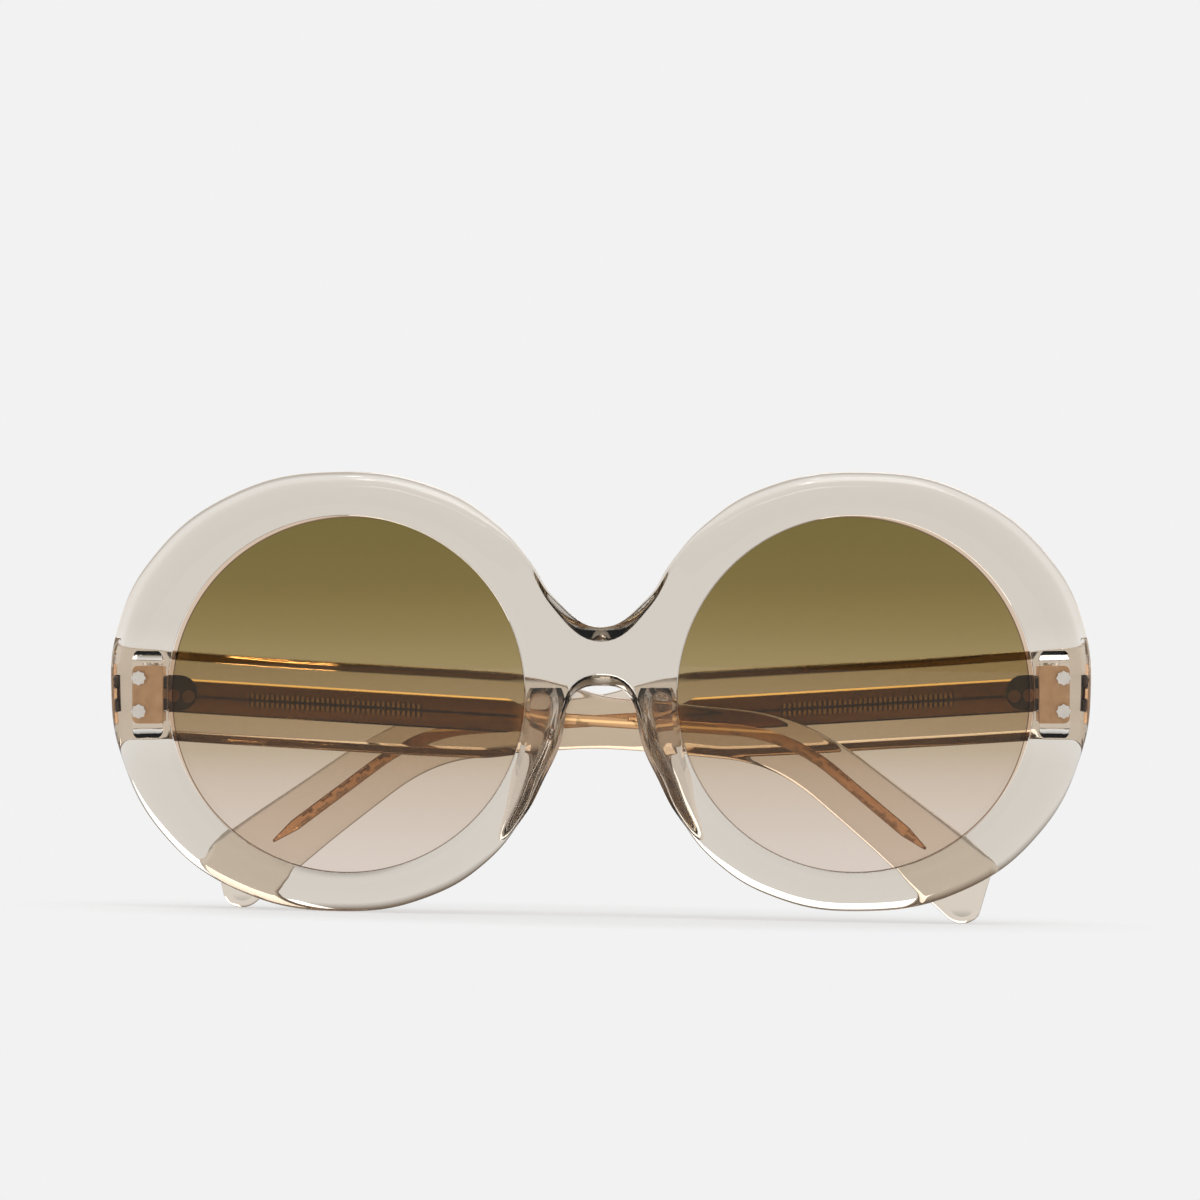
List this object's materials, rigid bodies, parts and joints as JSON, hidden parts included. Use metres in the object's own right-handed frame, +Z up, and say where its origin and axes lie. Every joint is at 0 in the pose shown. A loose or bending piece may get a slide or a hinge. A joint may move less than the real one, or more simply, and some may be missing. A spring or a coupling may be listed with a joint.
{
  "type": "round sunglasses",
  "caption": "Round sunglasses with a clear acetate front, graduated brown lenses, nose pads, barrel hinges and folding temples with metal cores.",
  "frame": {"origin": "on the ground under the middle of the folded glasses' bounding box", "axes": "+X across the front to the right as seen from in front, +Y back from the front towards the folded temples, +Z up; the glasses stand on the bottom of the left rim and on both temple tips"},
  "size_m": [0.1442, 0.022, 0.0663],
  "materials": {
    "acetate": "clear champagne acetate, polished",
    "pad_acetate": "pinkish brown translucent acetate, polished",
    "lens_tint": "graduated olive brown tint, darkest at the top, polished",
    "copper_leaf": "copper coloured metal, satin",
    "gold_metal": "gold coloured metal, satin",
    "dark_leaf": "dark metal seen through the acetate, satin"
  },
  "bodies": {
    "front": {"front_frame": "acetate", "lens_left": "lens_tint", "lens_right": "lens_tint", "nose_pad_left": "pad_acetate", "nose_pad_right": "pad_acetate", "front_hinge_left": "copper_leaf", "front_hinge_right": "copper_leaf", "hinge_stud_upper_left": "gold_metal", "hinge_stud_lower_left": "gold_metal", "hinge_stud_upper_right": "gold_metal", "hinge_stud_lower_right": "gold_metal", "hinge_screw_left": "gold_metal", "hinge_screw_right": "gold_metal"},
    "temple_left": {"temple_left": "acetate", "core_wire_left": "gold_metal", "temple_hinge_left": "dark_leaf", "temple_rivet_near_left": "gold_metal", "temple_rivet_far_left": "gold_metal"},
    "temple_right": {"temple_right": "acetate", "core_wire_right": "gold_metal", "temple_hinge_right": "dark_leaf", "temple_rivet_near_right": "gold_metal", "temple_rivet_far_right": "gold_metal"}
  },
  "joints": [
    {"name": "hinge_left", "type": "hinge", "parent": "front", "child": "temple_left", "pos_m": [-0.06593, 0.0018, 0.03142], "axis": [-0.0209, -0.0203, 0.9996], "range_deg": [0, 92.3]},
    {"name": "hinge_right", "type": "hinge", "parent": "front", "child": "temple_right", "pos_m": [0.06604, 0.00177, 0.03418], "axis": [0.0209, 0.0203, -0.9996], "range_deg": [0, 88.4]}
  ]
}
